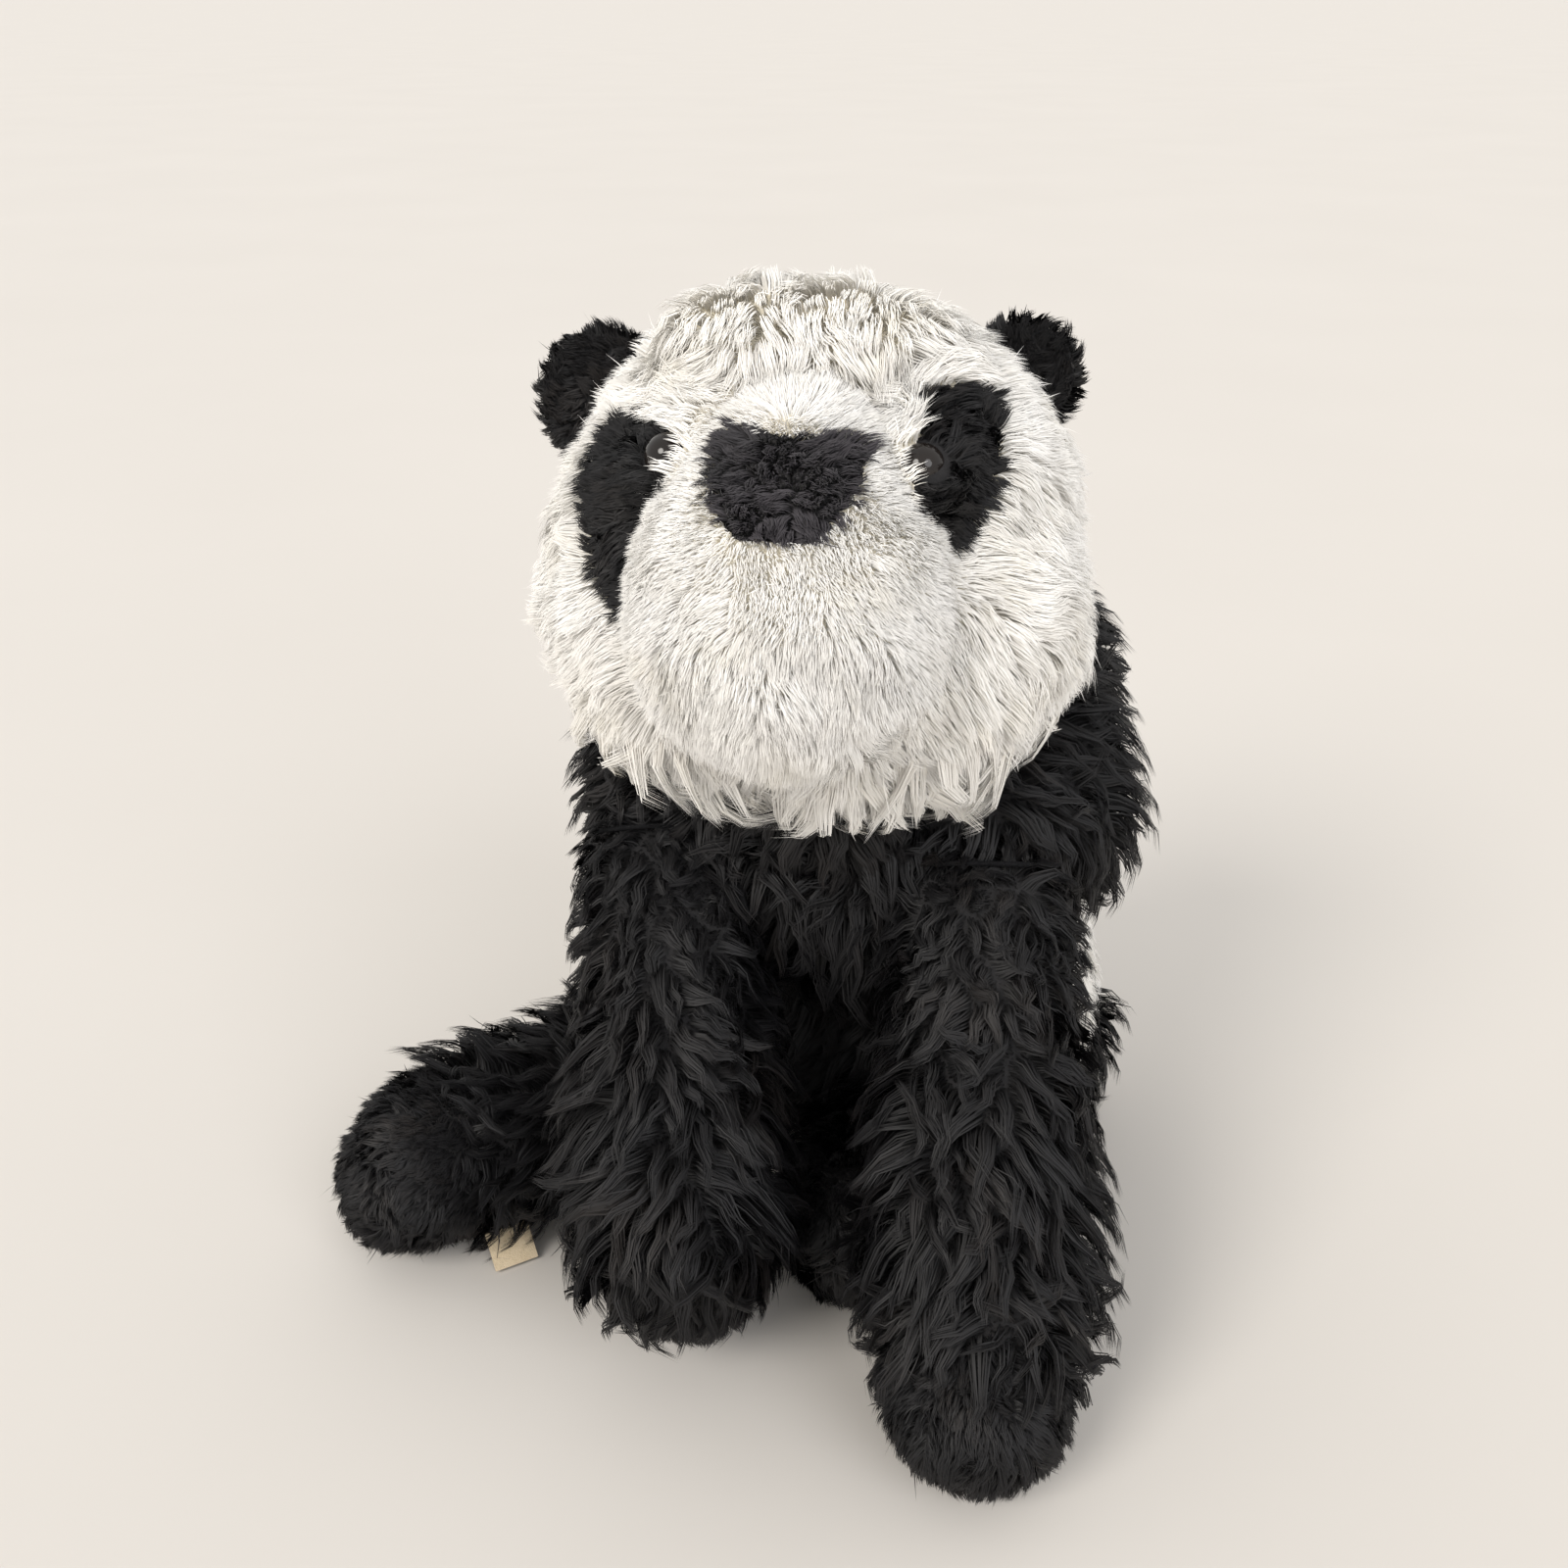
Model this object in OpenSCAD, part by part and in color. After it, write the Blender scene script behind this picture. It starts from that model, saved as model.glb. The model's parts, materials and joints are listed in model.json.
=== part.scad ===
// Seated plush panda: pile-fabric panels sewn over fibre filling, with ball-like
// sewn joints at the neck, shoulders, ankles, hips and tail. Millimetres, +Z up.
// The panda faces -Y and sits on the plane z = 0; the origin lies under the body.

/* [Head] */
// Radius of the head over its pile
head_r = 66; // [62:1:68]
// Height of the head's centre above the seat
head_height = 234; // [232:1:237]
// How far the face looks up (degrees)
face_lift = 15; // [10:1:18]
// How far the face turns to the panda's left (degrees)
face_turn = 1; // [-6:1:6]
// Radius of the muzzle over its pile
muzzle_r = 35; // [32:1:37]
// Radius of the glossy eye domes
eye_r = 5.5; // [4:0.5:6]
// Radius of the ear discs
ear_r = 15; // [14:1:18]

/* [Neck] */
// Radius of the neck collar
neck_r = 32; // [30:1:33]

/* [Body] */
// Widest radius of the white body
body_r = 66; // [62:1:68]
// Radius of the black shoulder and chest dome
chest_r = 64; // [61:1:66]
// Radius of the flat seat
seat_r = 46; // [40:1:48]

/* [Forelegs] */
// Radius of a foreleg over its pile
foreleg_r = 23.5; // [22:0.5:24]
// Length from shoulder to ankle
foreleg_length = 106; // [104:1:107]
// Radius of a forepaw
paw_r = 25; // [23:0.5:26]

/* [Hind legs] */
// Radius of a hind leg over its pile
hind_r = 27; // [25:0.5:28]
// Length from hip to the centre of the foot's round end
hind_length = 100; // [97:1:102]

/* [Fabric] */
// Thickness of the long-pile fabric, its pile pressed down
long_pile = 7; // [6:0.5:8]
// Thickness of the short-pile fabric
short_pile = 4; // [3:0.5:5]

/* [Hidden] */

$fn = 36;
far = 400;            // longer than anything here, for cutting tools
seam_gap = 0.3;       // space between two sewn panels
fill_gap = 0.4;       // space between a fabric panel and its filling
joint_gap = 0.6;      // space between two balls of a sewn joint
thread_r = 0.7;

black = [0.04, 0.04, 0.045];
white = [0.93, 0.91, 0.85];
fill_white = [0.96, 0.96, 0.95];
thread_black = [0.08, 0.08, 0.08];

// Places, as [x, y, z]
head_centre = [-12, -38, head_height];
neck_centre = [-9, -33, 168];
body_axis = [6, 36, 0];
chest_centre = [0, -4, 140];
shoulder_left = [36, -50, 133];
shoulder_right = [-54, -46, 133];
hip_left = [50, 34, 38];
hip_right = [-52, 2, 38];
tail_root = body_axis + [0, body_r - 4, 48];

// Directions, as unit vectors
foreleg_left_way = unit([0.08, -0.53, -0.85]);
foreleg_right_way = unit([0.13, -0.55, -0.82]);
forepaw_left_way = unit([0.05, -0.7, -0.8]);
forepaw_right_way = unit([0, 0.42, -0.9]);
hind_left_way = unit([-0.42, -0.9, -0.09]);
hind_right_way = unit([-0.78, -0.62, -0.08]);
tail_way = unit([0, 1, -0.15]);

function unit(v) = v / norm(v);

// ---------- shared shapes ----------

// Stands the children up along a direction, from a place
module aim(place, way) {
    translate(place)
        rotate([0, acos(way.z), atan2(way.y, way.x)])
            children();
}

module ball(place, r) {
    translate(place)
        sphere(r = r);
}

// Half outline of two circles and their common tangents, from pole to pole
function limb_outline(length, r0, r1, steps = 12) =
    let (lean = asin((r0 - r1) / length))
    concat(
        [for (i = [0:steps]) let (a = -90 + (90 + lean) * i / steps) [r0 * cos(a), r0 * sin(a)]],
        [for (i = [0:steps]) let (a = lean + (90 - lean) * i / steps)
            [r1 * cos(a), length + r1 * sin(a)]]
    );

module limb(place, way, length, r0, r1) {
    aim(place, way)
        rotate_extrude()
            polygon(limb_outline(length, r0, r1));
}

// A disc-shaped tool that takes away everything past a plane across a limb
module beyond(place, way, distance) {
    aim(place + distance * way, way)
        cylinder(r = 60, h = 80);
}

// A loop of sewing thread lying on a ball, round a limb's direction
module thread_loop(place, way, ball_r, from_way) {
    aim(place, way)
        translate([0, 0, ball_r * cos(from_way)])
            rotate_extrude()
                translate([ball_r * sin(from_way), 0])
                    circle(r = thread_r, $fn = 16);
}

// ---------- joints ----------

shoulder_r = foreleg_r + 1;
ankle_r = foreleg_r - 2.5;
ankle_lip_left = 10;      // how far the leg's open end stops short of the ankle's centre
ankle_lip_right = 18;     // more, where the paw is tucked back
squeeze_right = 11;       // how much the right foreleg is pushed together
paw_reach = 22;           // from the ankle's centre to the paw's
socket_gap = 2.2;         // room between a leg's ball and the body, where the thread loop lies
loop_way = 120;           // the loop's angle from the leg's direction, on the ball's inner side
pocket_length = 92;
foreleg_flare = 6;        // how much wider a pocket is at its mouth
hind_left_flare = 7;
hind_right_flare = 23;
tail_r = 9;
tail_flare = 10;

ankle_left = shoulder_left + foreleg_length * foreleg_left_way;
foreleg_right_length = foreleg_length - squeeze_right;
ankle_right = shoulder_right + foreleg_right_length * foreleg_right_way;

// Room in the body for one leg: its ball and the way it leaves
module leg_pocket(root, way, ball_r, flare) {
    room = ball_r + socket_gap;
    ball(root, room);
    aim(root, way)
        cylinder(r1 = room, r2 = room + flare, h = pocket_length);
}

// Rooms in the chest for the forelegs, neck and head
module upper_pockets() {
    leg_pocket(shoulder_left, foreleg_left_way, shoulder_r, foreleg_flare);
    leg_pocket(shoulder_right, foreleg_right_way, shoulder_r, foreleg_flare);
    ball(neck_centre, neck_r + joint_gap);
    ball(head_centre, head_r + head_room);
}

// Rooms in the body for the hind legs and tail
module lower_pockets() {
    leg_pocket(hip_left, hind_left_way, hind_r, hind_left_flare);
    leg_pocket(hip_right, hind_right_way, hind_r, hind_right_flare);
    leg_pocket(tail_root, tail_way, tail_r, tail_flare);
}

// ---------- body ----------

head_room = 14;           // space round the head for it to nod and tilt
seat_thickness = 5;
yoke_split = 2;           // front and back of the shoulders meet at this y
bag_r = 30;
bag_offset = [-6, 22, 0]; // the bag lies behind the body's middle
bag_height = 22;
bag_wall = 1;
bag_floor = 13;
pellet_r = 2.4;
pellet_pitch = 5.4;
pellet_rings = 3;

// Pear-shaped half outline of the body, drawn in by inset
function body_outline(inset) = [
    [0, inset],
    [seat_r + 3 - inset, inset],
    [body_r - 8 - inset, 9 + inset * 0.5],
    [body_r - 2 - inset, 24],
    [body_r - inset, 42],
    [body_r - inset, 64],
    [body_r - 3 - inset, 84],
    [body_r - 9 - inset, 104],
    [body_r - 18 - inset, 124],
    [body_r - 30 - inset, 138 - inset],
    [0, 144 - inset]
];

module body_form(inset) {
    translate(body_axis)
        rotate_extrude()
            polygon(body_outline(inset));
}

module chest_form(inset) {
    ball(chest_centre, chest_r - inset);
}

module seat_form(clearance) {
    translate(body_axis - [0, 0, 1])
        cylinder(r = seat_r + clearance, h = seat_thickness + 1 + clearance);
}

// The white fabric of the body; side is 1 for the left panel and -1 for the right
module body_panel(side) {
    color(white)
        difference() {
            body_form(0);
            body_form(long_pile);
            chest_form(-seam_gap);
            seat_form(seam_gap);
            lower_pockets();
            translate(body_axis + [side * (seam_gap - far) / 2, 0, 0])
                cube([far, far, far], center = true);
        }
}

// The black fabric over chest and shoulders; side is -1 in front and 1 behind
module yoke_panel(side) {
    color(black)
        difference() {
            chest_form(0);
            chest_form(long_pile);
            body_form(-seam_gap);
            upper_pockets();
            translate([0, yoke_split + side * (seam_gap - far) / 2, 0])
                cube([far, far, far], center = true);
        }
}

module body_panel_left() {
    body_panel(1);
}

module body_panel_right() {
    body_panel(-1);
}

module chest_panel() {
    yoke_panel(-1);
}

module shoulder_panel() {
    yoke_panel(1);
}

module seat_panel() {
    color(white)
        translate(body_axis)
            cylinder(r = seat_r, h = seat_thickness);
}

module body_stuffing() {
    color(fill_white)
        difference() {
            union() {
                body_form(long_pile + fill_gap);
                chest_form(long_pile + fill_gap);
            }
            upper_pockets();
            lower_pockets();
            bag_form(fill_gap);
        }
}

// A flat round cushion, grown by clearance
module bag_form(clearance) {
    edge = bag_height / 2 + clearance;
    translate(body_axis + bag_offset + [0, 0, bag_floor + bag_height / 2])
        rotate_extrude()
            polygon(concat(
                [[0, -edge]],
                [for (a = [-90:15:90]) [bag_r - bag_height / 2 + edge * cos(a), edge * sin(a)]],
                [[0, edge]]
            ));
}

module pellet_bag() {
    color(fill_white)
        difference() {
            bag_form(0);
            bag_form(-bag_wall);
        }
}

// One layer of pellets in rings round the middle one
module pellets() {
    color([0.85, 0.87, 0.9])
        translate(body_axis + bag_offset + [0, 0, bag_floor + bag_wall + pellet_r + fill_gap]) {
            sphere(r = pellet_r, $fn = 24);
            for (ring = [1:pellet_rings], i = [0:6 * ring - 1])
                rotate([0, 0, 60 * i / ring])
                    translate([ring * pellet_pitch, 0, 0])
                        sphere(r = pellet_r, $fn = 24);
        }
}

// Short threads across the closing seam, up the middle of the back
module closing_stitches() {
    stitch_length = 5;
    stitch_r = 0.5;
    color(white)
        for (height = [66:4:94])
            translate(body_axis + [-stitch_length / 2, back_reach(height) + stitch_r + seam_gap, height])
                rotate([0, 90, 0])
                    cylinder(r = stitch_r, h = stitch_length, $fn = 16);
}

// Distance from the body's axis to its surface at a height
function back_reach(height) = lookup(height, [for (p = body_outline(0)) [p.y, p.x]]);

// A blank tab of tape, sewn in under the inner edge of the right hind foot
module blank_label() {
    tab_width = 14;
    tab_length = 12;
    tab_thickness = 0.8;
    tab_side = 42;        // angle round the foot from its sole, towards the other hind leg
    foot = hip_right + (hind_length - 14) * hind_right_way;
    across = unit(cross([0, 0, 1], hind_right_way));
    out = sin(tab_side) * across - cos(tab_side) * [0, 0, 1];
    color([0.86, 0.8, 0.66])
        aim(foot + (toe_r + tab_thickness) * out, unit(0.7 * across - [0, 0, 0.7]))
            translate([0, 0, tab_length / 2])
                cube([tab_thickness, tab_width, tab_length], center = true);
}

// ---------- tail ----------

tail_length = 20;
tail_tip_r = 12;

module tail_form(inset) {
    limb(tail_root, tail_way, tail_length, tail_r - inset, tail_tip_r - inset);
}

module tail_pelt() {
    color(white)
        difference() {
            tail_form(0);
            tail_form(short_pile);
        }
}

module tail_stuffing() {
    color(fill_white)
        tail_form(short_pile + fill_gap);
}

// ---------- neck ----------

collar_band = 19;         // half height of the collar
collar_wall = 4;

module neck_stuffing() {
    color(fill_white)
        ball(neck_centre, neck_r - collar_wall - joint_gap);
}

module neck_collar() {
    color(black)
        intersection() {
            difference() {
                ball(neck_centre, neck_r);
                ball(neck_centre, neck_r - collar_wall);
            }
            translate(neck_centre - [0, 0, collar_band])
                cylinder(r = neck_r + 1, h = 2 * collar_band);
        }
}

module neck_seam() {
    color(thread_black)
        thread_loop(neck_centre, [0, 0, 1], neck_r - collar_wall / 2, 48);
}

// ---------- head ----------
// Built in its own frame: x to the panda's left, y up the face, z out of the face

crown_half = 24;          // half width of the strip from brow to nape
chin_top = -34;           // where the side panels meet the chin
muzzle_centre = [0, -9, 50];
eye_side = 29;
eye_up = 21;
dome_lift = 0.4;
shank_r = 2.2;
shank_length = 15;
washer_r = 7;
washer_depth = 11;        // how far under the pile the washer sits
washer_thickness = 1.6;
ear_reach = 69;           // from the head's centre to an ear's centre
ear_back_set = -8;
ear_wall = 4;
ear_cup_r = 42;           // radius of an ear's hollow front
ear_room = 2.5;
ear_angle_left = 42;
ear_angle_right = 30;

module in_head() {
    translate(head_centre)
        rotate([0, 0, face_turn])
            rotate([90 - face_lift, 0, 0])
                children();
}

// Fabric layer of the head, less the places of neck and muzzle
module head_layer() {
    difference() {
        sphere(r = head_r);
        sphere(r = head_r - long_pile);
        ball(muzzle_centre, muzzle_r + seam_gap);
    }
}

module neck_socket() {
    ball(neck_centre, neck_r + joint_gap);
}

// Prism along the face's axis, in front of the head's middle
module face_prism(outline) {
    linear_extrude(height = far)
        polygon(outline);
}

// Drooping outline of an eye's patch, fitted to each side and grown outwards from its middle.
// The left patch is smaller and sits higher than the right one.
patch_inner = 22;
patch_middle = [40, 14];
patch_size_left = [0.76, 0.65];
patch_size_right = [1.07, 0.82];
patch_rise_left = 12;
patch_rise_right = -5;
patch_points = [
    [24, 30], [31, 40], [40, 43], [48, 38], [52, 27], [52, 14],
    [48, 0], [42, -12], [36, -16], [30, -8], [24, 6], [22, 18]
];

function patch_outline(side, grow) =
    let (
        size = side > 0 ? patch_size_left : patch_size_right,
        rise = side > 0 ? patch_rise_left : patch_rise_right
    )
    [
        for (p = patch_points)
            let (q = p + grow * unit(p - patch_middle))
            [
                side * (patch_inner + (q.x - patch_inner) * size.x),
                q.y * size.y + rise
            ]
    ];

module patch_prism(side, grow = 0) {
    face_prism(patch_outline(side, grow));
}

module head_side_panel(side) {
    color(white)
        difference() {
            in_head()
                difference() {
                    head_layer();
                    translate([side * (crown_half + seam_gap / 2 - far / 2), 0, 0])
                        cube([far, 2 * far, 2 * far], center = true);
                    translate([0, chin_top + seam_gap / 2 - far / 2, 0])
                        cube([2 * far, far, 2 * far], center = true);
                    patch_prism(side, seam_gap);
                }
            neck_socket();
        }
}

module head_side_panel_left() {
    head_side_panel(1);
}

module head_side_panel_right() {
    head_side_panel(-1);
}

module head_crown_panel() {
    color(white)
        difference() {
            in_head()
                difference() {
                    intersection() {
                        head_layer();
                        translate([0, chin_top + seam_gap / 2 + far / 2, 0])
                            cube([2 * crown_half - seam_gap, far, 2 * far], center = true);
                    }
                    patch_prism(1, seam_gap);
                    patch_prism(-1, seam_gap);
                }
            neck_socket();
        }
}

module chin_panel() {
    color(white)
        difference() {
            in_head()
                intersection() {
                    head_layer();
                    translate([0, chin_top - seam_gap / 2 - far / 2, 0])
                        cube([2 * far, far, 2 * far], center = true);
                }
            neck_socket();
        }
}

module eye_patch(side) {
    color(black)
        in_head()
            difference() {
                intersection() {
                    head_layer();
                    patch_prism(side);
                }
                eye_hole(side);
            }
}

module eye_patch_left() {
    eye_patch(1);
}

module eye_patch_right() {
    eye_patch(-1);
}

// Puts the children on the head's surface at an eye, z pointing straight out of it
module at_eye(side) {
    out = unit([side * eye_side, eye_up, sqrt(head_r * head_r - eye_side * eye_side - eye_up * eye_up)]);
    aim([0, 0, 0], out)
        translate([0, 0, head_r])
            children();
}

module eye_hole(side) {
    at_eye(side)
        translate([0, 0, -shank_length - 1])
            cylinder(r = shank_r + 0.2, h = shank_length + 5);
}

// Room in the filling for an eye's washer and the end of its shank
module washer_space(side) {
    at_eye(side)
        ball([0, 0, 3 - (shank_length + washer_depth) / 2], washer_r + 2.5);
}

// A glossy dome with its shank, one moulding
module eye(side) {
    color([0.02, 0.02, 0.02])
        in_head()
            at_eye(side) {
                intersection() {
                    translate([0, 0, dome_lift - eye_r * 0.15])
                        sphere(r = eye_r);
                    translate([0, 0, dome_lift])
                        cylinder(r = eye_r + 1, h = eye_r);
                }
                translate([0, 0, -shank_length])
                    cylinder(r = shank_r, h = shank_length + dome_lift + 1);
            }
}

module eye_left() {
    eye(1);
}

module eye_right() {
    eye(-1);
}

// The disc that locks an eye's shank behind the fabric
module eye_washer(side) {
    color([0.9, 0.9, 0.9])
        in_head()
            at_eye(side)
                translate([0, 0, -washer_depth])
                    difference() {
                        cylinder(r = washer_r, h = washer_thickness);
                        translate([0, 0, -1])
                            cylinder(r = shank_r + 0.1, h = washer_thickness + 2);
                    }
}

module eye_washer_left() {
    eye_washer(1);
}

module eye_washer_right() {
    eye_washer(-1);
}

module head_stuffing() {
    color(fill_white)
        difference() {
            in_head()
                difference() {
                    sphere(r = head_r - long_pile - fill_gap);
                    for (side = [-1, 1])
                        washer_space(side);
                }
            neck_socket();
        }
}

module muzzle_panel() {
    color(white)
        in_head()
            difference() {
                ball(muzzle_centre, muzzle_r);
                ball(muzzle_centre, muzzle_r - short_pile);
                sphere(r = head_r - long_pile);
                nose_prism(seam_gap);
                for (side = [-1, 1])
                    eye_clearance(side);
            }
}

// Room for an eye's dome and shank beside the muzzle
module eye_clearance(side) {
    at_eye(side)
        sphere(r = eye_r + 1);
    at_eye(side)
        translate([0, 0, -shank_length])
            cylinder(r = shank_r + 0.6, h = shank_length);
}

module muzzle_stuffing() {
    color(fill_white)
        in_head()
            difference() {
                ball(muzzle_centre, muzzle_r - short_pile - fill_gap);
                sphere(r = head_r - long_pile + fill_gap);
                for (side = [-1, 1])
                    eye_clearance(side);
            }
}

// Rounded triangle, wide at the top, on the upper front of the muzzle
module nose_prism(grow = 0) {
    half_top = 17.5 + grow;
    half_low = 5 + grow;
    corner = 3;
    low = 2.5 - grow;
    high = 22 + grow;
    face_prism([
        [-half_low, low], [half_low, low],
        [half_top - corner, high - 11], [half_top, high - 8],
        [half_top, high - corner], [half_top - corner, high],
        [-half_top + corner, high], [-half_top, high - corner],
        [-half_top, high - 8], [-half_top + corner, high - 11]
    ]);
}

module nose_patch() {
    color(black)
        in_head()
            difference() {
                intersection() {
                    ball(muzzle_centre, muzzle_r);
                    nose_prism();
                }
                ball(muzzle_centre, muzzle_r - short_pile);
                sphere(r = head_r);
            }
}

// One layer of a cupped ear; the front layer has no offset
module ear_layer(side, angle, offset) {
    color(black)
        in_head()
            difference() {
                rotate([0, 0, side > 0 ? angle : 180 - angle])
                    translate([ear_reach, 0, ear_back_set])
                        difference() {
                            intersection() {
                                sphere(r = ear_r);
                                translate([0, 0, ear_cup_r])
                                    sphere(r = ear_cup_r + offset + ear_wall);
                            }
                            translate([0, 0, ear_cup_r])
                                sphere(r = ear_cup_r + offset);
                        }
                sphere(r = head_r + ear_room);
            }
}

module ear_front_left() {
    ear_layer(1, ear_angle_left, 0);
}

module ear_front_right() {
    ear_layer(-1, ear_angle_right, 0);
}

module ear_back_left() {
    ear_layer(1, ear_angle_left, ear_wall + seam_gap);
}

module ear_back_right() {
    ear_layer(-1, ear_angle_right, ear_wall + seam_gap);
}

// ---------- forelegs ----------

module foreleg_form(root, way, length, lip, inset) {
    difference() {
        limb(root, way, length, shoulder_r - inset, foreleg_r - inset);
        beyond(root, way, length - lip);
        ball(root + length * way, ankle_r + joint_gap);
    }
}

module foreleg_pelt(root, way, length, lip) {
    color(black)
        difference() {
            foreleg_form(root, way, length, lip, 0);
            limb(root, way, length, shoulder_r - long_pile, foreleg_r - long_pile);
        }
}

module foreleg_stuffing(root, way, length, lip) {
    color(fill_white)
        foreleg_form(root, way, length, lip, long_pile + fill_gap);
}

module forepaw_form(ankle, way, inset) {
    limb(ankle, way, paw_reach, ankle_r - inset, paw_r - inset);
}

module forepaw_pelt(ankle, way) {
    color(black)
        difference() {
            forepaw_form(ankle, way, 0);
            forepaw_form(ankle, way, short_pile);
        }
}

module forepaw_stuffing(ankle, way) {
    color(fill_white)
        forepaw_form(ankle, way, short_pile + fill_gap);
}

module foreleg_pelt_left() {
    foreleg_pelt(shoulder_left, foreleg_left_way, foreleg_length, ankle_lip_left);
}

module foreleg_pelt_right() {
    foreleg_pelt(shoulder_right, foreleg_right_way, foreleg_right_length, ankle_lip_right);
}

module foreleg_stuffing_left() {
    foreleg_stuffing(shoulder_left, foreleg_left_way, foreleg_length, ankle_lip_left);
}

module foreleg_stuffing_right() {
    foreleg_stuffing(shoulder_right, foreleg_right_way, foreleg_right_length, ankle_lip_right);
}

module forepaw_pelt_left() {
    forepaw_pelt(ankle_left, forepaw_left_way);
}

module forepaw_pelt_right() {
    forepaw_pelt(ankle_right, forepaw_right_way);
}

module forepaw_stuffing_left() {
    forepaw_stuffing(ankle_left, forepaw_left_way);
}

module forepaw_stuffing_right() {
    forepaw_stuffing(ankle_right, forepaw_right_way);
}

// The thread that closes a leg's root, in the gap between ball and body
module root_seam(root, way, ball_r) {
    color(thread_black)
        thread_loop(root, way, ball_r + socket_gap / 2, loop_way);
}

module shoulder_seam_left() {
    root_seam(shoulder_left, foreleg_left_way, shoulder_r);
}

module shoulder_seam_right() {
    root_seam(shoulder_right, foreleg_right_way, shoulder_r);
}

// ---------- hind legs ----------

toe_r = hind_r + 1;
toe_cut = 6;              // the foot's fabric starts this far short of the toe's centre

module hind_form(root, way, inset) {
    limb(root, way, hind_length, hind_r - inset, toe_r - inset);
}

module hind_leg_pelt(root, way) {
    color(black)
        difference() {
            hind_form(root, way, 0);
            hind_form(root, way, long_pile);
            beyond(root, way, hind_length - toe_cut - seam_gap);
        }
}

module hind_foot(root, way) {
    color(black)
        intersection() {
            difference() {
                hind_form(root, way, 0);
                hind_form(root, way, long_pile);
            }
            beyond(root, way, hind_length - toe_cut);
        }
}

module hind_leg_stuffing(root, way) {
    color(fill_white)
        hind_form(root, way, long_pile + fill_gap);
}

module hind_leg_pelt_left() {
    hind_leg_pelt(hip_left, hind_left_way);
}

module hind_leg_pelt_right() {
    hind_leg_pelt(hip_right, hind_right_way);
}

module hind_foot_left() {
    hind_foot(hip_left, hind_left_way);
}

module hind_foot_right() {
    hind_foot(hip_right, hind_right_way);
}

module hind_leg_stuffing_left() {
    hind_leg_stuffing(hip_left, hind_left_way);
}

module hind_leg_stuffing_right() {
    hind_leg_stuffing(hip_right, hind_right_way);
}

module hip_seam_left() {
    root_seam(hip_left, hind_left_way, hind_r);
}

module hip_seam_right() {
    root_seam(hip_right, hind_right_way, hind_r);
}

// ---------- the assembly ----------

body_panel_left();
body_panel_right();
chest_panel();
shoulder_panel();
seat_panel();
body_stuffing();
pellet_bag();
pellets();
closing_stitches();
blank_label();
tail_pelt();
tail_stuffing();
neck_stuffing();
neck_collar();
neck_seam();
head_crown_panel();
head_side_panel_left();
head_side_panel_right();
chin_panel();
head_stuffing();
muzzle_panel();
muzzle_stuffing();
nose_patch();
eye_patch_left();
eye_patch_right();
eye_left();
eye_right();
eye_washer_left();
eye_washer_right();
ear_front_left();
ear_front_right();
ear_back_left();
ear_back_right();
shoulder_seam_left();
shoulder_seam_right();
foreleg_pelt_left();
foreleg_pelt_right();
foreleg_stuffing_left();
foreleg_stuffing_right();
forepaw_pelt_left();
forepaw_pelt_right();
forepaw_stuffing_left();
forepaw_stuffing_right();
hip_seam_left();
hip_seam_right();
hind_leg_pelt_left();
hind_leg_pelt_right();
hind_foot_left();
hind_foot_right();
hind_leg_stuffing_left();
hind_leg_stuffing_right();
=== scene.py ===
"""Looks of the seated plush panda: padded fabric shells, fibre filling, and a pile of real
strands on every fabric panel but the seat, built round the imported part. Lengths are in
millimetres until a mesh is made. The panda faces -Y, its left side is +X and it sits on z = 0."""

import json
import math

import bmesh
import bpy
import numpy as np
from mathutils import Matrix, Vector
from mathutils.bvhtree import BVHTree
from mathutils.kdtree import KDTree


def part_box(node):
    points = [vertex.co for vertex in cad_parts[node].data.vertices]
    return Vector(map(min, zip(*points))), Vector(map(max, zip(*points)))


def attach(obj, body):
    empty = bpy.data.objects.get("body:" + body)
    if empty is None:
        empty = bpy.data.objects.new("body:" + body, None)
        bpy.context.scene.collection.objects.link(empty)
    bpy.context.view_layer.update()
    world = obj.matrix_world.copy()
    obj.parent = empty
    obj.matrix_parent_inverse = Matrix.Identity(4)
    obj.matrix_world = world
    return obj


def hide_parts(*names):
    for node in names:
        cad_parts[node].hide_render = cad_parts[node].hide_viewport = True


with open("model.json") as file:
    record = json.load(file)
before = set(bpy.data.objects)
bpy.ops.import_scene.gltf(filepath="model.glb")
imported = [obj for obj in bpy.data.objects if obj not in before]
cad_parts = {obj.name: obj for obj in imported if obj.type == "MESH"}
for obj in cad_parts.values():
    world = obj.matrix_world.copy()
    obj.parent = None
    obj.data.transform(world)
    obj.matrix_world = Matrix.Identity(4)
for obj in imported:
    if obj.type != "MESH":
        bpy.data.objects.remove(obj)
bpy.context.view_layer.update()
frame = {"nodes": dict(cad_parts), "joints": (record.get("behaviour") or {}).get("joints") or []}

MM = 0.001
UP = np.array([0.0, 0.0, 1.0])
FLOOR_CLEARANCE = 0.25
HALVINGS = 22      # steps in the search for a form's surface
DENSITY = 1.0      # share of the strands that a trial run grows


# ---------- reading the frame ----------

def unit(v):
    """Vectors scaled to length 1."""
    v = np.asarray(v, float)
    return v / np.maximum(np.linalg.norm(v, axis=-1, keepdims=True), 1e-9)


def node_points(name):
    """A CAD node's vertices."""
    vertices = frame["nodes"][name].data.vertices
    co = np.empty(len(vertices) * 3)
    vertices.foreach_get("co", co)
    return co.reshape(-1, 3) / MM


def joint_place(name):
    """Where a joint turns."""
    joint = next(j for j in frame["joints"] if j["name"] == name)
    return np.array(joint["pos_m"]) / MM


def box_middle(name):
    """The middle of a CAD node's box."""
    low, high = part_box(name)
    return (np.array(low) + np.array(high)) / 2 / MM


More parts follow.
